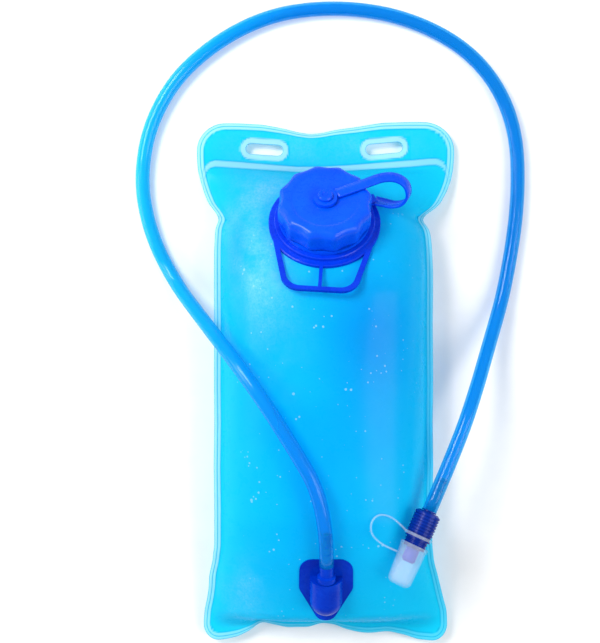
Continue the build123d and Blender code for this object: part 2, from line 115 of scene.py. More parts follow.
class Shader:
    """Builds one node material."""

    def __init__(self, name):
        self.material = bpy.data.materials.new(name)
        self.material.use_nodes = True
        self.tree = self.material.node_tree
        self.tree.nodes.clear()
        self.output = self.tree.nodes.new("ShaderNodeOutputMaterial")
        self.place = self.tree.nodes.new("ShaderNodeTexCoord").outputs["Object"]

    def link(self, source, target):
        self.tree.links.new(source, target)

    def attribute(self, name):
        node = self.tree.nodes.new("ShaderNodeAttribute")
        node.attribute_name = name
        return node.outputs["Fac"]

    def axis(self, letter):
        """One coordinate of the point in the object's own space."""
        node = self.tree.nodes.new("ShaderNodeSeparateXYZ")
        self.link(self.place, node.inputs[0])
        return node.outputs[letter]

    def noise(self, scale, detail, roughness=None):
        node = self.tree.nodes.new("ShaderNodeTexNoise")
        self.link(self.place, node.inputs["Vector"])
        node.inputs["Scale"].default_value = scale
        node.inputs["Detail"].default_value = detail
        if roughness is not None:
            node.inputs["Roughness"].default_value = roughness
        return node.outputs["Fac"]

    def cells(self, scale):
        """Distance to the nearest of many scattered points."""
        node = self.tree.nodes.new("ShaderNodeTexVoronoi")
        self.link(self.place, node.inputs["Vector"])
        node.inputs["Scale"].default_value = scale
        node.inputs["Randomness"].default_value = 1.0
        return node.outputs["Distance"]

    def math(self, operation, *values):
        node = self.tree.nodes.new("ShaderNodeMath")
        node.operation = operation
        for socket, value in zip(node.inputs, values):
            if isinstance(value, (int, float)):
                socket.default_value = value
            else:
                self.link(value, socket)
        return node.outputs[0]

    def ramp(self, source, stops, target=None):
        """Reads a source through stops of grey levels or colours."""
        node = self.tree.nodes.new("ShaderNodeValToRGB")
        elements = node.color_ramp.elements
        while len(elements) < len(stops):
            elements.new(0.5)
        for element, (at, colour) in zip(elements, stops):
            element.position = at
            element.color = (*(colour if isinstance(colour, tuple) else (colour,) * 3), 1)
        self.link(source, node.inputs["Fac"])
        if target is not None:
            self.link(node.outputs["Color"], target)
        return node.outputs["Color"]

    def mix(self, factor, a, b):
        """Colour a, going over to colour b as the factor rises."""
        node = self.tree.nodes.new("ShaderNodeMix")
        node.data_type, node.blend_type = "RGBA", "MIX"
        for index, value in ((0, factor), (6, a), (7, b)):
            if isinstance(value, (int, float)):
                node.inputs[index].default_value = value
            elif isinstance(value, tuple):
                node.inputs[index].default_value = (*value, 1)
            else:
                self.link(value, node.inputs[index])
        return node.outputs[2]

    def bump(self, height, strength, distance, shader):
        node = self.tree.nodes.new("ShaderNodeBump")
        node.inputs["Strength"].default_value = strength
        node.inputs["Distance"].default_value = distance
        self.link(height, node.inputs["Height"])
        self.link(node.outputs["Normal"], shader.inputs["Normal"])

    def principled(self, roughness, specular, coat=0.0):
        """The main shader, shown as the surface unless something is mixed over it later."""
        node = self.tree.nodes.new("ShaderNodeBsdfPrincipled")
        node.inputs["Roughness"].default_value = roughness
        node.inputs["Specular IOR Level"].default_value = specular
        node.inputs["Coat Weight"].default_value = coat
        node.inputs["IOR"].default_value = PLASTIC_IOR
        self.link(node.outputs[0], self.output.inputs["Surface"])
        return node

    def clear(self, colour):
        """A see-through shader of one colour, given or linked."""
        node = self.tree.nodes.new("ShaderNodeBsdfTransparent")
        if isinstance(colour, tuple):
            node.inputs["Color"].default_value = (*colour, 1)
        else:
            self.link(colour, node.inputs["Color"])
        return node

    def mix_shaders(self, factor, a, b):
        node = self.tree.nodes.new("ShaderNodeMixShader")
        if isinstance(factor, float):
            node.inputs["Fac"].default_value = factor
        else:
            self.link(factor, node.inputs["Fac"])
        self.link(a.outputs[0], node.inputs[1])
        self.link(b.outputs[0], node.inputs[2])
        return node

    def show(self, shader):
        self.link(shader.outputs[0], self.output.inputs["Surface"])


PLASTIC_ROUGHNESS, ROUGHNESS_SPREAD = 0.28, 0.22


def moulded_plastic(name, dark, light, gloss):
    """Satin injection-moulded plastic: slight colour drift, uneven gloss and a fine grain."""
    s = Shader(name)
    p = s.principled(PLASTIC_ROUGHNESS, gloss, coat=0.2 * gloss)
    p.inputs["Coat Roughness"].default_value = 0.12
    s.ramp(s.noise(45, 3, 0.6), [(0.3, dark), (0.7, light)], p.inputs["Base Color"])
    wear = s.noise(180, 4, 0.7)
    low = PLASTIC_ROUGHNESS - ROUGHNESS_SPREAD / 2
    s.link(s.math("MULTIPLY_ADD", wear, ROUGHNESS_SPREAD, low), p.inputs["Roughness"])
    s.bump(s.noise(1600, 2), 0.12, 0.0001, p)
    return s.material


# painted light: the hose's colour runs from palest at the left of its loop, towards the lamps,
# to darker at the right
HOSE_PAINTED_LIGHT_TINTS = [
    (0.16, (0.01, 0.8, 0.95)), (0.34, (0.0, 0.56, 0.92)), (0.52, (0.0, 0.36, 0.85)),
    (0.95, (0.0, 0.34, 0.78)),
]
HOSE_CLEAR, HOSE_SOLID_SHARE = (0.3, 0.76, 1.0), 0.36


def hose_material():
    """Clear blue tube: partly see-through, with faint cloudy streaks, and painted light that makes
    it palest on the left.
    """
    s = Shader("hose_tube")
    p = s.principled(roughness=0.12, specular=0.45, coat=0.2)
    cloud = s.noise(14, 4, 0.55)
    # painted light: a ramp across x, palest at the left where the lamps stand, with a little cloud
    across = s.math("MULTIPLY_ADD", s.axis("X"), 3.0, 0.5)
    painted_light_and_cloud = s.math("ADD", across, s.math("MULTIPLY", cloud, 0.12))
    s.ramp(painted_light_and_cloud, HOSE_PAINTED_LIGHT_TINTS, p.inputs["Base Color"])
    streak = s.noise(300, 3)
    s.ramp(streak, [(0.3, 0.08), (0.8, 0.2)], p.inputs["Roughness"])
    s.bump(streak, 0.08, 0.0002, p)
    s.show(s.mix_shaders(HOSE_SOLID_SHARE, s.clear(HOSE_CLEAR), p))
    return s.material


FROST_DULL, FROST_BRIGHT = (0.72, 0.82, 0.9), (0.9, 0.95, 0.98)
FROST_CLEAR, FROST_SOLID_SHARE = (0.93, 0.97, 1.0), 0.15


def frosted_material():
    """Milky clear plastic of the dust cap, its ring and its loop."""
    s = Shader("frosted_clear")
    p = s.principled(roughness=0.25, specular=0.5, coat=0.2)
    cloud = s.noise(120, 3)
    s.ramp(cloud, [(0.3, FROST_DULL), (0.7, FROST_BRIGHT)], p.inputs["Base Color"])
    s.ramp(cloud, [(0.3, 0.2), (0.7, 0.38)], p.inputs["Roughness"])
    s.bump(cloud, 0.1, 0.0002, p)
    s.show(s.mix_shaders(FROST_SOLID_SHARE, s.clear(FROST_CLEAR), p))
    return s.material


RUBBER_DULL, RUBBER_BRIGHT = (0.7, 0.75, 0.8), (0.8, 0.84, 0.88)


def silicone_material():
    s = Shader("silicone")
    p = s.principled(roughness=0.5, specular=0.4)
    cloud = s.noise(90, 2)
    s.ramp(cloud, [(0.3, RUBBER_DULL), (0.7, RUBBER_BRIGHT)], p.inputs["Base Color"])
    s.bump(cloud, 0.1, 0.0002, p)
    return s.material


WATER_DEEP, WATER_PALE = (0.0, 0.57, 1.0), (0.01, 0.8, 1.0)
MIST_AND_HIGHLIGHT_TINT, SHADE_TINT, BUBBLE_TINT = (0.34, 0.86, 1.0), (0.0, 0.27, 0.82), (0.6, 0.93, 1.0)
WELD_TINT, CREASE_TINT, LIGHT_TINT = (0.62, 0.95, 1.0), (0.0, 0.42, 0.68), (0.15, 0.85, 1.0)
HAZE_SHARE, BUBBLE_SHARE, CREASE_SHARE, GLOW_SHARE = 0.35, 0.42, 0.55, 0.3
CLEAR_WHERE_THIN, CLEAR_LOST_WITH_DEPTH = 0.34, 0.26


def film_colour(s, depth):
    """Blue film with water behind it: deeper in colour where it is thick, with haze, patches of
    mist that are partly painted highlight, patches of painted shade, clinging bubbles, and welds
    with a painted highlight that makes them palest at the top left."""
    haze = s.ramp(s.noise(9, 4, 0.55), [(0.42, 0.0), (0.68, 1.0)])
    colour = s.mix(depth, WATER_PALE, WATER_DEEP)
    colour = s.mix(s.math("MULTIPLY", haze, HAZE_SHARE), colour, WATER_PALE)

    # mist with a speckle of condensation, partly a painted highlight: pale patches at the upper
    # and lower left and across the header
    patchy_mist_and_highlight = s.ramp(s.noise(42, 4, 0.6), [(0.36, 0.15), (0.62, 1.0)])
    patchy_mist_and_highlight = s.math("MULTIPLY", patchy_mist_and_highlight, s.attribute("mist_and_highlight"))
    speckle = s.ramp(s.noise(520, 3, 0.8), [(0.35, 0.35), (0.65, 1.0)])
    colour = s.mix(s.math("MULTIPLY", patchy_mist_and_highlight, speckle), colour, MIST_AND_HIGHLIGHT_TINT)
    # painted shade: darker blue patches where the bag is less lit, mostly right of its middle
    colour = s.mix(s.attribute("shade"), colour, SHADE_TINT)

    bubble_size = s.math("MULTIPLY", s.math("SUBTRACT", s.noise(85, 1), 0.43), 0.75)
    bubble = s.math("LESS_THAN", s.cells(225), bubble_size)
    bubble = s.math("MULTIPLY", bubble, s.ramp(depth, [(0.35, 0.0), (0.75, 1.0)]))
    colour = s.mix(s.math("MULTIPLY", bubble, BUBBLE_SHARE), colour, BUBBLE_TINT)

    # painted highlight: the welds are painted palest towards the top left, where the key lamp
    # stands
    up, right = s.math("MULTIPLY", s.axis("Y"), 3.0), s.math("MULTIPLY", s.axis("X"), 6.0)
    corner = s.math("ADD", s.math("SUBTRACT", up, right), 0.45)
    painted_highlight_top_left = s.ramp(corner, [(0.0, 0.22), (0.55, 0.95)])
    colour = s.mix(s.math("MULTIPLY", s.attribute("weld"), painted_highlight_top_left), colour, WELD_TINT)
    crease = s.math("MULTIPLY", s.attribute("crease"), CREASE_SHARE)
    return s.mix(crease, colour, CREASE_TINT)


def film_material(name):
    """The film: satin, softly lit through, and clearer where the bag is thin."""
    s = Shader(name)
    p = s.principled(roughness=0.3, specular=0.1, coat=0.06)
    p.inputs["Coat Roughness"].default_value = 0.18
    depth = s.attribute("depth")
    colour = film_colour(s, depth)
    s.link(colour, p.inputs["Base Color"])
    s.ramp(s.noise(110, 4, 0.65), [(0.3, 0.22), (0.75, 0.4)], p.inputs["Roughness"])
    grain, ripple = s.noise(900, 3), s.noise(38, 3, 0.6)
    s.bump(s.math("ADD", s.math("MULTIPLY", grain, 0.12), ripple), 0.25, 0.0006, p)
    glow = s.tree.nodes.new("ShaderNodeBsdfTranslucent")
    s.link(colour, glow.inputs["Color"])
    soft = s.mix_shaders(GLOW_SHARE, p, glow)
    thin = s.math("SUBTRACT", CLEAR_WHERE_THIN, s.math("MULTIPLY", depth, CLEAR_LOST_WITH_DEPTH))
    s.show(s.mix_shaders(thin, soft, s.clear(s.mix(0.5, colour, LIGHT_TINT))))
    return s.material


# ---------------------------------------------------------------- lines, meshes and tubes


def spline_line(name, points, steps):
    """Points along the NURBS spline that has these control points in millimetres, in metres."""
    curve = bpy.data.curves.new(name, "CURVE")
    curve.dimensions = "3D"
    curve.resolution_u = steps
    spline = curve.splines.new("NURBS")
    spline.points.add(len(points) - 1)
    for point, place in zip(spline.points, points):
        point.co = (*(c * MM for c in place), 1)
    spline.order_u = 3
    spline.use_endpoint_u = True
    holder = bpy.data.objects.new(name, curve)
    bpy.context.scene.collection.objects.link(holder)
    bpy.context.view_layer.update()
    mesh = bpy.data.meshes.new_from_object(holder)
    line = [v.co.copy() for v in mesh.vertices]
    bpy.data.objects.remove(holder)
    bpy.data.curves.remove(curve)
    bpy.data.meshes.remove(mesh)
    return line


def new_object(name, verts, faces, material):
    mesh = bpy.data.meshes.new(name)
    mesh.from_pydata([tuple(v) for v in verts], [], faces)
    mesh.validate()
    mesh.update()
    mesh.polygons.foreach_set("use_smooth", [True] * len(mesh.polygons))
    obj = bpy.data.objects.new(name, mesh)
    bpy.context.scene.collection.objects.link(obj)
    obj.data.materials.append(material)
    return obj


def rail_frames(line, first_side):
    """Each point with its two cross directions, carried along without twist."""
    frames = []
    side = Vector(first_side)
    for n, point in enumerate(line):
        ahead = (line[min(n + 1, len(line) - 1)] - line[max(n - 1, 0)]).normalized()
        side = (side - ahead * side.dot(ahead)).normalized()
        frames.append((point, side, ahead.cross(side)))
    return frames


def tube(name, line, outer, bore, material, around=32):
    """A hollow tube with closed ends that follows the line."""
    verts, faces = [], []
    rails = rail_frames(line, (0.3, 0.2, 1))
    for radius in (outer, bore):
        for point, side, up in rails:
            for k in range(around):
                angle = 2 * math.pi * k / around
                verts.append(point + radius * (math.cos(angle) * side + math.sin(angle) * up))
    rows = len(rails)
    end = rows - 1

    def at(shell, row, k):
        return (shell * rows + row) * around + k % around

    for k in range(around):
        n = k + 1
        for row in range(end):
            up = row + 1
            faces.append((at(0, row, k), at(0, row, n), at(0, up, n), at(0, up, k)))
            faces.append((at(1, row, k), at(1, up, k), at(1, up, n), at(1, row, n)))
        faces.append((at(0, 0, k), at(1, 0, k), at(1, 0, n), at(0, 0, n)))
        faces.append((at(0, end, k), at(0, end, n), at(1, end, n), at(1, end, k)))
    return new_object(name, verts, faces, material)


def ribbon(name, line, first_side, section, material, flare=0.0):
    """Sweeps a closed section of (across, up) points along the line; flare widens its end."""
    verts, faces = [], []
    rails = rail_frames(line, first_side)
    count = len(section)
    for n, (point, side, up) in enumerate(rails):
        wide = 1 + flare * float(step(n / len(rails), 0.62, 1.0))
        for across, rise in section:
            verts.append(point + (side * across * wide + up * rise) * MM)
    for row in range(len(rails) - 1):
        for k in range(count):
            n = (k + 1) % count
            a, b = row * count, (row + 1) * count
            faces.append((a + k, a + n, b + n, b + k))
    faces.append(tuple(range(count))[::-1])
    faces.append(tuple(range((len(rails) - 1) * count, len(rails) * count)))
    return new_object(name, verts, faces, material)


def step(x, low, high):
    """A smooth step from 0 at low to 1 at high."""
    t = np.clip((np.asarray(x, float) - low) / (high - low), 0, 1)
    return t * t * (3 - 2 * t)


# ---------------------------------------------------------------- film bag: its filled shape

# The filled bag's outline in millimetres: x of its sides at each y, and y of its ends at each x.
LEFT_EDGE = [
    (-190, -87.2), (-176, -87), (-165, -86.2), (-155, -83.9), (-146, -82.6), (-138, -82.2),
    (-128, -79.8), (-116, -78.2), (-90, -78), (-60, -78.3), (-30, -77.9), (0, -78.2),
    (40, -78), (75, -78.2), (92, -78.3), (101, -78), (108, -77.6), (114, -75.2), (119, -77.6),
    (125, -82.6), (133, -86.2), (142, -89.2), (151, -91.3), (160, -91.9), (190, -91.9),
]
RIGHT_EDGE = [
    (-190, 88.2), (-177, 87.8), (-165, 87.2), (-155, 84.2), (-146, 81.9), (-138, 79.8),
    (-128, 76.9), (-116, 75.4), (-90, 75), (-60, 75.6), (-30, 75.2), (0, 75.5),
    (40, 75.2), (75, 75.5), (92, 75.2), (101, 74.6), (107, 73.4), (111.5, 70.2), (115, 68.4),
    (118, 72.6), (124, 80.9), (133, 86.4), (142, 90.2), (151, 92.2), (160, 92.9), (190, 92.9),
]
TOP_EDGE = [
    (-92, 184.2), (-62, 184.1), (-45, 183.2), (-36, 181.6), (-28, 180.0), (-19, 177.6),
    (-10, 176.2), (-2, 177.2), (7, 179.2), (15, 180.4), (24, 181.6), (33, 183.2),
    (41, 184.4), (58, 185.0), (70, 185.0), (92, 184.6),
]
BOTTOM_EDGE = [
    (-92, -187), (-80, -186.8), (-72, -186.3), (-62, -184), (-53, -179.5), (-45, -172.8),
    (-37, -175.2), (-28, -177.6), (-11, -177.4), (-3, -173.9), (5, -174.6), (14, -178.6),
    (24, -181.1), (32, -181.8), (45, -180.4), (57, -183), (66, -186.1), (76, -187.2),
    (92, -187.6),
]
FLAT_HALF, FLAT_TOP, FLAT_BOTTOM = 92.0, 185.5, -185.5
TOP_CORNER, BOTTOM_CORNER = 21.0, 12.0
WELD = 5.0
NECK = Vector((-1.0, 109.1, 40.0))
NECK_TILT = math.radians(34)
PORT = Vector((0.0, -143.0, 40.0))
PORT_TILT = math.radians(20)
HEADER_LINE, TAIL_LINE = 151.0, -175.0
EDGE_BLUR, SECTION_BLUR = 2.0, 2.5


def neck_face(y):
    """Height of the plane that the spout's flange is welded in."""
    return NECK.z - (y - NECK.y) * math.tan(NECK_TILT)


def port_face(y):
    """Height of the plane that the port's flange is welded in."""
    return PORT.z + (y - PORT.y) * math.tan(PORT_TILT)


# y, height of the rim, half width and height of the level crown, the same of the underside
SECTIONS = [
    (186, 6.0, 34, 6.5, 34, 5.5), (152, 6.0, 34, 6.8, 34, 5.2),
    (140.6, 7.5, 32, neck_face(140.6), 34, 3.2), (128, 11.0, 36, neck_face(128), 30, 1.0),
    (114, 16.5, 39, neck_face(114), 26, 0.2), (105, 20.0, 39, neck_face(105), 22, 0.2),
    (77.6, 25.0, 27, neck_face(77.6), 18, 0.2), (62, 26.0, 20, 66.0, 16, 0.2),
    (40, 26.0, 18, 66.5, 16, 0.2), (0, 26.0, 16, 63.5, 16, 0.2), (-60, 26.0, 15, 60.0, 15, 0.2),
    (-95, 25.0, 17, 56.0, 16, 0.2), (-119.5, 22.0, 22, port_face(-119.5), 20, 0.2),
    (-146, 15.0, 23, port_face(-146), 26, 0.2), (-166, 9.5, 22, port_face(-166), 30, 3.5),
    (-175, 8.0, 24, 8.6, 34, 7.4), (-190, 8.0, 24, 8.4, 34, 7.6),
]
LEVEL_LIMIT = 0.3  # a rise under this many millimetres is drawn as a slope, not as an arc
TOP_REACH, LOW_REACH = 34, 30  # how far in from its end the outline of that end is felt
END_FADE = 1.5
BOTTOM_SQUEEZE = 0.95  # the bottom's outline is a little narrower than the flat pattern
CENTRING = 2.5  # how soon, in from the edge, the sheet's middle comes to x = 0


def smooth_table(rows, column, blur):
    """A reader for one column of a table: linear between rows, averaged over some millimetres."""
    rows = sorted(rows)
    x = np.array([r[0] for r in rows], float)
    y = np.array([r[column] for r in rows], float)

    def read(at):
        at = np.asarray(at, float)
        return sum(w * np.interp(at + o, x, y) for o, w in ((-blur, 0.25), (0, 0.5), (blur, 0.25)))

    return read


left_edge, right_edge, top_edge, bottom_edge = (
    smooth_table(rows, 1, EDGE_BLUR) for rows in (LEFT_EDGE, RIGHT_EDGE, TOP_EDGE, BOTTOM_EDGE)
)
seam_of, crown_half_of, crown_of, keel_half_of, keel_of = (
    smooth_table(SECTIONS, column, SECTION_BLUR) for column in range(1, 6)
)


def cross_section(share, half, seam, flat, top):
    """x and z on half a section, from its edge (share 0) to its middle: rim, arc, level crown."""
    foot = half - WELD
    dx, dz = foot - flat, top - seam
    size = abs(dz)
    if size < LEVEL_LIMIT:
        return half * (1 - share), seam + dz * min(1, share * 3)
    radius = (dx * dx + size * size) / (2 * size)
    sweep = math.atan2(dx, radius - size)
    arc = radius * sweep
    s = share * (WELD + arc + flat)
    if s < WELD:
        return half - s, seam
    if s < WELD + arc:
        angle = sweep - (s - WELD) / radius
        rise = radius * math.cos(angle) - (radius - size)
        return flat + radius * math.sin(angle), seam + math.copysign(rise, dz)
    return flat - (s - WELD - arc), top


def rounded(a, b):
    """Moves a point of the rectangular grid so that the grid's corners become round."""
    corner = TOP_CORNER if b > 0 else BOTTOM_CORNER
    end = FLAT_TOP if b > 0 else -FLAT_BOTTOM
    u, v = (abs(a) - FLAT_HALF + corner) / corner, (abs(b) - end + corner) / corner
    if u <= 0 or v <= 0:
        return a, b
    new_u, new_v = u * math.sqrt(1 - v * v / 2), v * math.sqrt(1 - u * u / 2)
    return (
        math.copysign(FLAT_HALF - corner + new_u * corner, a),
        math.copysign(end - corner + new_v * corner, b),
    )


def start_shape(a_lines, b_lines, side):
    """Where each point of the flat pattern lies on the filled bag, before the cloth settles."""
    grid = np.zeros((len(b_lines), len(a_lines), 3))
    for j, row in enumerate(b_lines):
        for i, column in enumerate(a_lines):
            a, b = rounded(column, row)
            at_top = max(0, 1 - (FLAT_TOP - b) / TOP_REACH) ** END_FADE
            at_low = max(0, 1 - (b - FLAT_BOTTOM) / LOW_REACH) ** END_FADE
            lift_top = (top_edge(a) - FLAT_TOP) * at_top
            lift_low = (bottom_edge(a * BOTTOM_SQUEEZE) - FLAT_BOTTOM) * at_low
            y = float(b + lift_top + lift_low)
            low, high = float(left_edge(b)), float(right_edge(b))
            half, middle = (high - low) / 2, (high + low) / 2
            flat, top = (crown_half_of, crown_of) if side > 0 else (keel_half_of, keel_of)
            share = 1 - abs(a) / FLAT_HALF
            x, z = cross_section(share, half, float(seam_of(y)), float(flat(y)), float(top(y)))
            pull = min(1, share * CENTRING)
            grid[j, i] = (middle * (1 - pull) + math.copysign(x, a), y, z)
    return grid


def lines_between(low, high, rim_steps, spacing):
    """Grid lines across a sheet: close together over the welded rim, then evenly spaced."""
    rim, inset = np.array(rim_steps[:-1]), rim_steps[-1]
    count = 1 + round((high - low - 2 * inset) / spacing)
    inner = np.linspace(low + inset, high - inset, count)
    return np.concatenate([low + rim, inner, high - rim[::-1]])


def spline_matrix(knots, wanted):
    """Natural cubic spline as a matrix: values at the knots to values at the wanted places."""
    n = len(knots)
    h = np.diff(knots)
    system, right = np.zeros((n, n)), np.zeros((n, n))
    system[0, 0] = system[-1, -1] = 1
    for k in range(1, n - 1):
        system[k, k - 1 : k + 2] = h[k - 1], 2 * (h[k - 1] + h[k]), h[k]
        right[k, k - 1 : k + 2] = 6 / h[k - 1], -6 / h[k - 1] - 6 / h[k], 6 / h[k]
    bend = np.linalg.solve(system, right)
    matrix = np.zeros((len(wanted), n))
    place = np.clip(np.searchsorted(knots, wanted) - 1, 0, n - 2)
    for row, (k, x) in enumerate(zip(place, wanted)):
        low, high = (knots[k + 1] - x) / h[k], (x - knots[k]) / h[k]
        matrix[row, k] += low
        matrix[row, k + 1] += high
        cubic = (low**3 - low) * bend[k] + (high**3 - high) * bend[k + 1]
        matrix[row] += cubic * h[k] ** 2 / 6
    return matrix


def neck_distance(points):
    """Distance from the neck's axis, measured in the plane of its flange, in millimetres."""
    across = points[..., 0] - NECK.x
    y, z = points[..., 1] - NECK.y, points[..., 2] - NECK.z
    return np.hypot(across, y * math.cos(NECK_TILT) - z * math.sin(NECK_TILT))


# ---------------------------------------------------------------- film bag: cloth simulation

SIM_FRAMES = 24
CLOTH_SETTINGS = {
    "quality": 7, "mass": 0.15, "air_damping": 4.0, "tension_stiffness": 40,
    "compression_stiffness": 40, "shear_stiffness": 12, "bending_stiffness": 1.5,
    "vertex_group_mass": "hold", "pin_stiffness": 4.0, "use_pressure": True,
    "uniform_pressure_force": 4.0, "vertex_group_pressure": "push",
}
NECK_HELD, NECK_FREE = 39, 44  # distances from the neck's axis where the film is held and free
PORT_HALF_WIDTH, PORT_HALF_HEIGHT, PORT_SHIFT, PORT_FADE = 19, 22, 2, 5
RIM_HOLD, HEADER_HOLD = 0.35, 0.8
HEADER_FREE, HEADER_HELD = 150, 160
KEEL_HELD, KEEL_FREE = 0.6, 3.0  # heights of the underside where it is held and free
MOST_MOVE, MOST_RIM_MOVE = 7.0, 4.0
LOWEST_BACK = 0.25


def cloth_faces(front_index, back_index, double):
    """Quads of both films; where they are welded into one, only the front's."""
    faces = []
    nb, na = front_index.shape
    for j in range(nb - 1):
        for i in range(na - 1):
            quad = [(j, i), (j, i + 1), (j + 1, i + 1), (j + 1, i)]
            faces.append([int(front_index[q]) for q in quad])
            if any(double[q] for q in quad):
                faces.append([int(back_index[q]) for q in quad[::-1]])
    return faces


def cloth_weights(start, double):
    """How firmly each point is held, and where the water presses."""
    sheet = double.size
    front, under = start[:sheet], start[sheet:]
    neck = np.maximum(1 - step(neck_distance(front), NECK_HELD, NECK_FREE), 0)
    plate = np.maximum(
        np.abs(front[:, 0]) - PORT_HALF_WIDTH,
        np.abs(front[:, 1] - PORT.y + PORT_SHIFT) - PORT_HALF_HEIGHT,
    )
    moulded = np.maximum(neck, 1 - step(plate, 0, PORT_FADE))
    rim = np.where(double.ravel(), 0, RIM_HOLD)
    header = HEADER_HOLD * step(front[:, 1], HEADER_FREE, HEADER_HELD)
    keel = 1 - step(under[:, 2], KEEL_HELD, KEEL_FREE)
    hold = np.concatenate([np.maximum.reduce([moulded, rim, header]), keel])
    push = np.concatenate([double.ravel().astype(float), np.ones(len(under))])
    return {"hold": hold, "push": push}


def run_cloth(sim, rest_key):
    """Runs the cloth on the object and returns its points in metres."""
    cloth = sim.modifiers.new("cloth", "CLOTH")
    for name, value in CLOTH_SETTINGS.items():
        setattr(cloth.settings, name, value)
    cloth.settings.rest_shape_key = rest_key
    cloth.settings.effector_weights.gravity = 0
    cloth.collision_settings.use_collision = False
    cloth.collision_settings.use_self_collision = False
    cloth.point_cache.frame_start, cloth.point_cache.frame_end = 1, SIM_FRAMES
    for number in range(1, SIM_FRAMES + 1):
        bpy.context.scene.frame_set(number)
    solid = sim.evaluated_get(bpy.context.evaluated_depsgraph_get())
    moved = np.empty(len(solid.data.vertices) * 3)
    solid.data.vertices.foreach_get("co", moved)
    return moved.reshape(-1, 3)


def settle(front, back, a_lines, b_lines):
    """Runs the filled bag as cloth: pressure in the chamber, moulded parts and underside held."""
    nb, na = front.shape[:2]
    chamber_a = np.abs(a_lines) < FLAT_HALF - WELD - 0.1
    chamber_b = (b_lines < HEADER_LINE - 0.1) & (b_lines > TAIL_LINE + 0.1)
    double = chamber_b[:, None] & chamber_a[None, :]
    front_index = np.arange(nb * na).reshape(nb, na)
    back_index = front_index.copy()
    back_index[double] = nb * na + np.arange(double.sum())
    start = np.where(double[..., None], front, (front + back) / 2).reshape(-1, 3)
    start = np.vstack([start, back[double]])
    flat = np.array([[(*rounded(a, b), 0) for a in a_lines] for b in b_lines])
    flat = np.vstack([flat.reshape(-1, 3), flat[double]])

    faces = cloth_faces(front_index, back_index, double)
    sim = new_object("settling_bag", start * MM, faces, bpy.data.materials[0])
    sim.shape_key_add(name="Basis")
    key = sim.shape_key_add(name="flat")
    key.data.foreach_set("co", (flat * MM).ravel())
    key.value = 0.0
    for name, weights in cloth_weights(start, double).items():
        group = sim.vertex_groups.new(name=name)
        weights = np.round(weights, 2)
        for level in np.unique(weights[weights > 0]):
            members = [int(k) for k in np.nonzero(weights == level)[0]]
            group.add(members, float(level), "REPLACE")
    moved = run_cloth(sim, key) / MM - start
    bpy.data.objects.remove(sim)
    bpy.context.scene.frame_set(1)

    reach = np.linalg.norm(moved, axis=1, keepdims=True)
    most = np.full(len(start), MOST_MOVE)
    most[: nb * na][~double.ravel()] = MOST_RIM_MOVE
    most = most[:, None]
    moved *= np.where(reach > 1e-6, np.tanh(reach / most) * most / np.maximum(reach, 1e-6), 0)
    print(f"cloth moved at most {reach.max():.1f} mm, mean {reach.mean():.2f}")
    settled = start + moved
    new_front = settled[: nb * na].reshape(nb, na, 3)
    new_back = new_front.copy()
    new_back[double] = settled[nb * na :]
    new_back[..., 2] = np.maximum(new_back[..., 2], LOWEST_BACK)
    return new_front, new_back


# ---------------------------------------------------------------- film bag: the two sheets

# middle and turn of each hanging slot
SLOTS = [(-43.4, 165.2, math.radians(-4)), (42.6, 166.1, math.radians(5))]
SLOT_HALF_LENGTH, SLOT_HALF_WIDTH = 13.3, 3.8
SLOT_STRAIGHT = SLOT_HALF_LENGTH - SLOT_HALF_WIDTH
BLOCK_HALF_LENGTH, BLOCK_HALF_WIDTH = 18.6, 8.5  # the patch of grid that a slot's rings replace
RING_SHARES = [0.2, 0.38, 0.52, 0.62, 0.7, 0.78, 0.86, 0.93, 0.97, 1.0, 1.0]
SLOT_LIP, SLOT_WELD_FOOT = 0.1, 4.2  # distances out from a slot's edge of its thin dark lines
PANEL_HEIGHT = 6.0
FILM_HALF, BEAD_RISE, GROOVE_DEPTH = 0.4, 0.28, 0.22
HEADER_WELD = [
    (-92, 138), (-89, 146), (-86, 151.5), (-83, 154.2), (-79, 155.3), (-62, 154.1),
    (-45, 152.7), (-20, 150.6), (0, 150.8), (19, 152), (44, 153.9), (63, 155.3), (74, 156.4),
    (80, 156.6), (84, 154.8), (87, 151), (90, 145), (92, 138),
]
HEADER_WELD_SHARE, HEADER_WELD_HALF, HEADER_WELD_FLAT = 0.8, 2.6, 1.9
EDGE_GROOVE, WELD_FOOT = 2.4, 5.1  # distances in from the edge of the two thin dark lines
FLANGE_COVERED, FLANGE_CLEAR = 40, 46  # from the neck's axis: under the flange, clear of it
FLOOR_GAP = 0.05
# patches of mist with painted highlight inside the film, and of painted shade: x, y, reach
# across, reach along, strength
MIST_AND_HIGHLIGHT = [
    (-54, 112, 16, 34, 0.75), (-42, 70, 16, 30, 0.55), (-30, 136, 22, 9, 0.6),
    (-58, -150, 16, 22, 0.45), (-30, 30, 18, 30, 0.12), (0, 168, 62, 13, 0.36),
]
SHADE = [
    (28, 42, 30, 46, 0.58), (-62, 90, 8, 30, 0.3), (30, -20, 34, 60, 0.25), (55, 95, 16, 30, 0.2),
]
WAIST_FOLDS = [((-79, 115.5), (-66, 113.5)), ((74, 114.5), (62, 116.5))]
FOLD_DEPTH, FOLD_WIDTH = 1.5, 1.9
FULL_DEPTH = 55  # thickness of the bag at which its colour is deepest
RIM_STEPS = [0, 0.4, 0.8, 1.4, 2.0, 2.4, 2.8, 3.4, 4.0, 4.5, 5.0, 6.0]
FINE_ACROSS, FINE_ALONG = 1.7, 2.0
HEADER_ROWS = (144, 161, 0.6)  # finer rows over the header weld: from, to, spacing
COARSE_RIM_STEPS, COARSE_SPACING = [0, 2.5, 5.0], 4.2


def slot_distance(x, y, slot):
    """Distance from a slot's edge: below zero inside the slot."""
    cx, cy, turn = slot
    u = (x - cx) * math.cos(turn) + (y - cy) * math.sin(turn)
    v = -(x - cx) * math.sin(turn) + (y - cy) * math.cos(turn)
    return np.hypot(u - np.clip(u, -SLOT_STRAIGHT, SLOT_STRAIGHT), v) - SLOT_HALF_WIDTH


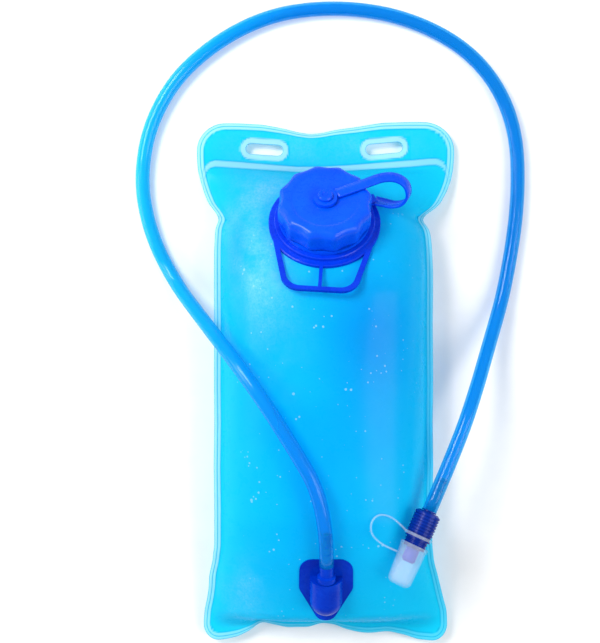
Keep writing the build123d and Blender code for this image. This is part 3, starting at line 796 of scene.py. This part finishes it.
def slot_outline(counts):
    """Points round a slot, for a block of cells with these counts along and across it."""
    quarter = math.pi / 4 * SLOT_HALF_WIDTH
    points = []
    for way in (1, -1):
        for n in range(counts[0]):
            s = (2 * SLOT_STRAIGHT + 2 * quarter) * n / counts[0] - quarter
            over = max(0, s - 2 * SLOT_STRAIGHT) + min(0, s)
            angle = -math.pi / 2 + over / SLOT_HALF_WIDTH
            along = np.clip(s, 0, 2 * SLOT_STRAIGHT) - SLOT_STRAIGHT
            x = along + SLOT_HALF_WIDTH * math.cos(angle)
            points.append((way * x, way * SLOT_HALF_WIDTH * math.sin(angle)))
        for n in range(counts[1]):
            angle = -math.pi / 4 + math.pi / 2 * n / counts[1]
            x = SLOT_STRAIGHT + SLOT_HALF_WIDTH * math.cos(angle)
            points.append((way * x, way * SLOT_HALF_WIDTH * math.sin(angle)))
    return points


def slot_weld(distance):
    """The flat weld round a slot, 1 on it and 0 off it."""
    return step(distance, -0.2, 0.3) * (1 - step(distance, 3.6, 4.4))


def edge_weld(inset):
    """The double weld along the film's edge: two flat beads with a groove between them."""
    outer = step(inset, 0.1, 0.7) * (1 - step(inset, 2.0, 2.4))
    return outer + step(inset, 2.5, 2.9) * (1 - step(inset, 4.3, 4.9))


def edge_distance(a, b):
    """Distance in from the flat pattern's edge, rounded at the corners."""
    corner = np.where(b > 0, TOP_CORNER, BOTTOM_CORNER)
    p = np.abs(a) - (FLAT_HALF - corner)
    q = np.where(b > 0, b - FLAT_TOP, FLAT_BOTTOM - b) + corner
    return corner - np.where((p > 0) & (q > 0), np.hypot(p, q), np.maximum(p, q))


def patches(place, spots):
    """Soft-edged patches on the film, 0 to 1."""
    total = np.zeros(place.shape[:-1])
    for x, y, across, along, strength in spots:
        u, v = (place[..., 0] - x) / across, (place[..., 1] - y) / along
        total += strength * np.exp(-(u**2) - v**2)
    return np.clip(total, 0, 1)


def fold_distance(place, start, end):
    """Distance from a fold's line, growing along it so that the fold fades out at its end."""
    (x0, y0), (x1, y1) = start, end
    dx, dy = x1 - x0, y1 - y0
    x, y = place[..., 0] - x0, place[..., 1] - y0
    t = np.clip((x * dx + y * dy) / (dx * dx + dy * dy), 0, 1)
    return np.hypot(x - t * dx, y - t * dy) + 3 * t**3


def surface_normal(place):
    normal = np.cross(np.gradient(place, axis=1), np.gradient(place, axis=0))
    return normal / np.maximum(np.linalg.norm(normal, axis=-1, keepdims=True), 1e-9)


def slot_blocks(a_lines, b_lines):
    """For each slot: itself, the grid points round its patch, and the patch's counts of cells."""
    na = len(a_lines)
    cut = np.zeros((len(b_lines) - 1, na - 1), bool)
    blocks = []
    for slot in SLOTS:
        ends_a = [slot[0] - BLOCK_HALF_LENGTH, slot[0] + BLOCK_HALF_LENGTH]
        ends_b = [slot[1] - BLOCK_HALF_WIDTH, slot[1] + BLOCK_HALF_WIDTH]
        i0, i1 = np.searchsorted(a_lines, ends_a)
        j0, j1 = np.searchsorted(b_lines, ends_b)
        cut[j0:j1, i0:i1] = True
        loop = [(j0, i) for i in range(i0, i1)] + [(j, i1) for j in range(j0, j1)]
        loop += [(j1, i) for i in range(i1, i0, -1)] + [(j, i0) for j in range(j1, j0, -1)]
        blocks.append((slot, [j * na + i for j, i in loop], (i1 - i0, j1 - j0)))
    return cut, blocks


def add_slot(verts, faces, values, side, slot, loop, counts):
    """Fills a slot's patch with rings that close in on the slot, and turns its edge inwards."""
    cx, cy, turn = slot
    outer = loop
    for k, share in enumerate(RING_SHARES):
        ring = []
        for v, (ex, ey) in zip(loop, slot_outline(counts)):
            x, y, z = verts[v]
            tx = cx + ex * math.cos(turn) - ey * math.sin(turn)
            ty = cy + ex * math.sin(turn) + ey * math.cos(turn)
            px, py = x + (tx - x) * share, y + (ty - y) * share
            d = float(slot_distance(np.float64(px), np.float64(py), slot))
            weld = float(slot_weld(d))
            level = z + (PANEL_HEIGHT + side * FILM_HALF - z) * step(share, 0, 0.6)
            height = level + side * BEAD_RISE * weld
            if k == len(RING_SHARES) - 1:
                height = PANEL_HEIGHT
            ring.append(len(verts))
            verts.append((px, py, height))
            lines = math.exp(-((d - SLOT_WELD_FOOT) ** 2) / 0.12)
            lines += math.exp(-((d - SLOT_LIP) ** 2) / 0.05)
            values["weld"].append(weld)
            values["crease"].append(min(1.0, lines))
            for name in ("depth", "mist_and_highlight", "shade"):
                values[name].append(0.0)
        for v in range(len(loop)):
            n = (v + 1) % len(loop)
            quad = (outer[v], outer[n], ring[n], ring[v])
            faces.append(quad if side > 0 else quad[::-1])
        outer = ring


def film_sheet(name, side, coarse, a_coarse, b_coarse, other):
    """One sheet of the bag as a fine mesh through the settled cloth, with its welds embossed."""
    a_lines = lines_between(-FLAT_HALF, FLAT_HALF, RIM_STEPS, FINE_ACROSS)
    b_lines = lines_between(FLAT_BOTTOM, FLAT_TOP, RIM_STEPS, FINE_ALONG)
    low, high, spacing = HEADER_ROWS
    rows = np.arange(low, high, spacing)
    b_lines = np.concatenate([b_lines[b_lines < low], rows, b_lines[b_lines > high]])
    across, along = spline_matrix(a_coarse, a_lines), spline_matrix(b_coarse, b_lines)
    place = np.einsum("jb,bac,ia->jic", along, coarse, across)
    beyond = np.einsum("jb,bac,ia->jic", along, other, across)
    pattern = np.array([[rounded(a, b) for a in a_lines] for b in b_lines])
    a, b = pattern[..., 0], pattern[..., 1]
    normal = surface_normal(place) * side

    inset = edge_distance(a, b)
    line = b - np.interp(a, *zip(*HEADER_WELD))
    band = 1 - step(np.abs(line), HEADER_WELD_FLAT, HEADER_WELD_HALF)
    groove = np.exp(-((np.abs(line) - HEADER_WELD_HALF) ** 2) / 0.3)
    slot_welds = [slot_weld(slot_distance(place[..., 0], place[..., 1], slot)) for slot in SLOTS]
    welded = np.maximum.reduce([edge_weld(inset), HEADER_WELD_SHARE * band, *slot_welds])
    welded = np.clip(welded, 0, 1)
    lines = np.exp(-((inset - EDGE_GROOVE) ** 2) / 0.06)
    lines = lines + np.exp(-((inset - WELD_FOOT) ** 2) / 0.08)
    lines = np.clip(lines + (inset < 0.3) + 0.8 * groove, 0, 1)
    values = {
        "weld": welded, "crease": lines, "mist_and_highlight": patches(place, MIST_AND_HIGHLIGHT),
        "shade": patches(place, SHADE),
        "depth": np.clip(np.abs(place[..., 2] - beyond[..., 2]) / FULL_DEPTH, 0, 1),
    }
    values = {key: list(value.ravel()) for key, value in values.items()}

    free = step(neck_distance(place), FLANGE_COVERED, FLANGE_CLEAR) if side > 0 else 1.0
    for start, end in WAIST_FOLDS:
        fold = np.exp(-((fold_distance(place, start, end) / FOLD_WIDTH) ** 2))
        place = place - normal * (FOLD_DEPTH * fold * (inset > 0))[..., None]
    proud = FILM_HALF * step(inset, 0, 0.5) + BEAD_RISE * welded
    proud = proud - GROOVE_DEPTH * groove * (inset > 5)
    place = place + normal * (proud * free)[..., None]
    place[..., 2] = np.maximum(place[..., 2], FLOOR_GAP)

    verts = [tuple(p) for p in place.reshape(-1, 3)]
    cut, blocks = slot_blocks(a_lines, b_lines)
    faces = []
    na = len(a_lines)
    for j, i in zip(*np.nonzero(~cut)):
        j, i = int(j), int(i)
        quad = (j * na + i, j * na + i + 1, (j + 1) * na + i + 1, (j + 1) * na + i)
        faces.append(quad if side > 0 else quad[::-1])
    for block in blocks:
        add_slot(verts, faces, values, side, *block)
    material = film_material("film_front" if side > 0 else "film_back")
    sheet = new_object(name, [Vector(v) * MM for v in verts], faces, material)
    for key, value in values.items():
        layer = sheet.data.attributes.new(key, "FLOAT", "POINT")
        layer.data.foreach_set("value", np.array(value, np.float32))
    return sheet


def build_bag():
    a_lines = lines_between(-FLAT_HALF, FLAT_HALF, COARSE_RIM_STEPS, COARSE_SPACING)
    b_lines = lines_between(FLAT_BOTTOM, FLAT_TOP, COARSE_RIM_STEPS, COARSE_SPACING)
    front = start_shape(a_lines, b_lines, 1)
    back = start_shape(a_lines, b_lines, -1)
    front, back = settle(front, back, a_lines, b_lines)
    sheets = [
        film_sheet("bag_front", 1, front, a_lines, b_lines, back),
        film_sheet("bag_back", -1, back, a_lines, b_lines, front),
    ]
    for sheet, node in zip(sheets, ("front_film", "back_film")):
        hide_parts(node)
        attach(sheet, "bladder")


# ---------------------------------------------------------------- hose

HOSE_RADIUS, HOSE_BORE_RADIUS = 0.005, 0.0033
# control points of the hose's curve in millimetres, from the port round to the valve
HOSE_ROUTE = [
    (0.0, -122.97, 56.02), (0.0, -79.74, 71.75), (-27.0, -34.0, 72.5), (-53.0, 5.0, 70.0),
    (-84.0, 41.0, 35.0), (-109.0, 71.0, 5.2), (-126.0, 106.0, 5.2), (-133.0, 145.0, 5.2),
    (-125.0, 188.0, 5.2), (-99.0, 228.0, 5.2), (-48.0, 261.0, 5.2), (8.0, 269.0, 5.2),
    (63.0, 260.0, 5.2), (110.0, 233.0, 5.2), (137.0, 188.0, 5.2), (140.0, 130.0, 5.2),
    (130.0, 66.0, 5.2), (116.0, 24.0, 16.0), (104.0, -8.0, 33.0), (90.6, -42.3, 42.6),
    (70.36, -87.1, 48.05),
]


def build_hose(loop):
    line = spline_line("hose_line", HOSE_ROUTE, 12)
    hose = tube("hose", line, HOSE_RADIUS, HOSE_BORE_RADIUS, hose_material())
    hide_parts("drink_hose")
    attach(hose, "bladder")


# ---------------------------------------------------------------- cap and its strap

NECK_YAW = math.radians(-4)
NECK_Z_AXIS = Vector((0, math.sin(NECK_TILT), math.cos(NECK_TILT)))
NECK_X_AXIS = Vector((
    math.cos(NECK_YAW), math.sin(NECK_YAW) * math.cos(NECK_TILT),
    -math.sin(NECK_YAW) * math.sin(NECK_TILT),
))
NECK_Y_AXIS = NECK_Z_AXIS.cross(NECK_X_AXIS)

CAP_LOBES, STEPS_PER_LOBE = 12, 24
LOBE_FLOOR, LOBE_POWER = 0.02, 0.62  # these make the scallops wide and the ridges narrow
# radius, height and depth of the finger scallops, up the outside, over the top and down inside
CAP_PROFILE = [
    (28.9, 9.6, 0), (31.9, 9.6, 1.7), (32.4, 9.8, 1.9), (32.6, 10.4, 1.9), (32.6, 14, 1.95),
    (32.6, 18, 1.95), (32.55, 20.5, 1.95), (32.3, 22.2, 1.9), (31.7, 23.6, 1.8),
    (30.8, 24.7, 1.6), (29.6, 25.5, 1.25), (28.0, 25.9, 0.8), (26.2, 26.0, 0.35),
    (24.0, 25.95, 0.1), (22.8, 25.8, 0), (22.4, 25.62, 0), (21.5, 25.6, 0), (14, 25.66, 0),
    (8.6, 25.72, 0), (3.4, 25.72, 0), (3.4, 23.6, 0), (12, 23.5, 0), (24, 23.5, 0),
    (28.2, 23.3, 0), (28.7, 22.6, 0), (28.8, 16, 0),
]
# radius, angle and height of the strap's line, from the cap's middle round to the ring's ear
STRAP_LINE = [
    (8.3, 28.5, 27.45), (20, 28.5, 27.45), (33, 28.0, 27.9), (42, 26.6, 29.5),
    (50.5, 22.6, 29.8), (57, 17.8, 26.0), (58.8, 14.6, 17.5), (55.5, 14.2, 10.0),
    (49, 17.0, 6.4), (43.5, 21.5, 6.5), (38.0, 26.4, 6.95),
]
# a flat band with raised edges
STRAP_SECTION = [
    (-3.7, -0.7), (-3.5, -0.9), (3.5, -0.9), (3.7, -0.7), (3.7, 0.75), (3.5, 0.95),
    (3.0, 0.95), (2.75, 0.6), (-2.75, 0.6), (-3.0, 0.95), (-3.5, 0.95), (-3.7, 0.75),
]
STRAP_FLARE, STRAP_ANGLE = 0.5, 28.5


def neck_point(radius, azimuth, height):
    """A place given by radius, angle in degrees and height on the neck's axis, in millimetres."""
    angle = math.radians(azimuth)
    across = NECK_X_AXIS * math.cos(angle) + NECK_Y_AXIS * math.sin(angle)
    return NECK + across * radius + NECK_Z_AXIS * height


def build_cap(material):
    around = CAP_LOBES * STEPS_PER_LOBE
    verts, faces = [], []
    for radius, height, scallop in CAP_PROFILE:
        for k in range(around):
            angle = 360 * k / around
            wave = math.cos(math.radians(angle * CAP_LOBES / 2)) ** 2
            wave = (wave + LOBE_FLOOR) ** LOBE_POWER
            verts.append(neck_point(radius - scallop * wave, angle, height) * MM)
    rows = len(CAP_PROFILE)
    for row in range(rows):
        a, b = row * around, (row + 1) % rows * around
        for k in range(around):
            n = (k + 1) % around
            faces.append((a + k, a + n, b + n, b + k))
    cap = new_object("cap_shell", verts, faces, material)
    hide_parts("cap")
    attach(cap, "cap")


def build_strap(material):
    line = spline_line("strap_line", [neck_point(*p) for p in STRAP_LINE], 10)
    side = NECK - neck_point(1, STRAP_ANGLE + 90, 0)
    strap = ribbon("strap", line, side, STRAP_SECTION, material, STRAP_FLARE)
    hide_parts("tether_strap")
    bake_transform(strap)


# ---------------------------------------------------------------- dust cap's loop

VALVE = Vector((74.25, -78.5, 47.0))
VALVE_AXIS = Vector((-25.95, -57.3, 7.0)).normalized()
LOOP_WAY = Vector((-0.911, 0.413, 0.2))
VALVE_SIDE = (LOOP_WAY - VALVE_AXIS * LOOP_WAY.dot(VALVE_AXIS)).normalized()
# away from the valve and along it
LOOP_LINE = [
    (9.4, 28.3), (15, 26.2), (21, 24.4), (27.5, 24.2), (33.2, 26.8), (35.0, 33.6),
    (31.2, 40.2), (23, 43.1), (16, 43.5), (9.6, 43.4),
]
LOOP_HALF_WIDTH, LOOP_HALF_HEIGHT, LOOP_SIDES = 0.8, 0.7, 12


def valve_point(away, along):
    return VALVE + VALVE_SIDE * away + VALVE_AXIS * along


def build_loop(material):
    line = spline_line("loop_line", [valve_point(*p) for p in LOOP_LINE], 8)
    angles = np.linspace(0, 2 * math.pi, LOOP_SIDES + 1)[:-1]
    section = [(LOOP_HALF_WIDTH * math.cos(a), LOOP_HALF_HEIGHT * math.sin(a)) for a in angles]
    loop = ribbon("dust_cap_loop", line, VALVE_AXIS.cross(VALVE_SIDE), section, material)
    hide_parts("dust_cap_tether")
    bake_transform(loop)
    return loop


# ---------------------------------------------------------------- all pieces


def paint_and_detail():
    """Gives the CAD's pieces their materials, adds the cap and strap, and returns the loop."""
    royal = moulded_plastic("royal_blue", (0.0, 0.07, 0.8), (0.0, 0.1, 0.92), 0.24)
    # painted shade: the spout gets a darker copy of the cap's royal blue, standing in for the
    # cap's shadow over it
    shaded_royal = moulded_plastic("deep_blue", (0.0, 0.03, 0.6), (0.0, 0.05, 0.72), 0.24)
    navy = moulded_plastic("dark_blue", (0.0, 0.025, 0.44), (0.0, 0.05, 0.6), 0.12)
    ink = moulded_plastic("ink_blue", (0.0, 0.012, 0.2), (0.0, 0.025, 0.3), 0.14)
    clear, rubber = frosted_material(), silicone_material()
    looks = [
        (royal, ["cap", "cap_button", "tether_ring", "tether_eyelet", "tether_strap"]),
        (shaded_royal, ["spout"]),
        (navy, ["outlet_port", "hose_connector", "nozzle"]),
        (ink, ["valve_connector", "valve_body"]),
        (clear, ["dust_cap_ring", "dust_cap_tether", "dust_cap"]),
        (rubber, ["cap_seal", "port_seal", "nozzle_seal"]),
    ]
    for material, names in looks:
        for name in names:
            for slot in nodes[name].material_slots:
                slot.material = material
    build_cap(royal)
    build_strap(royal)
    return build_loop(clear)


bpy.context.scene.view_settings.view_transform = "Standard"
add_camera()
add_world()
for light in LIGHTS:
    add_area_light(*light)
add_floor()
build_hose(paint_and_detail())
build_bag()
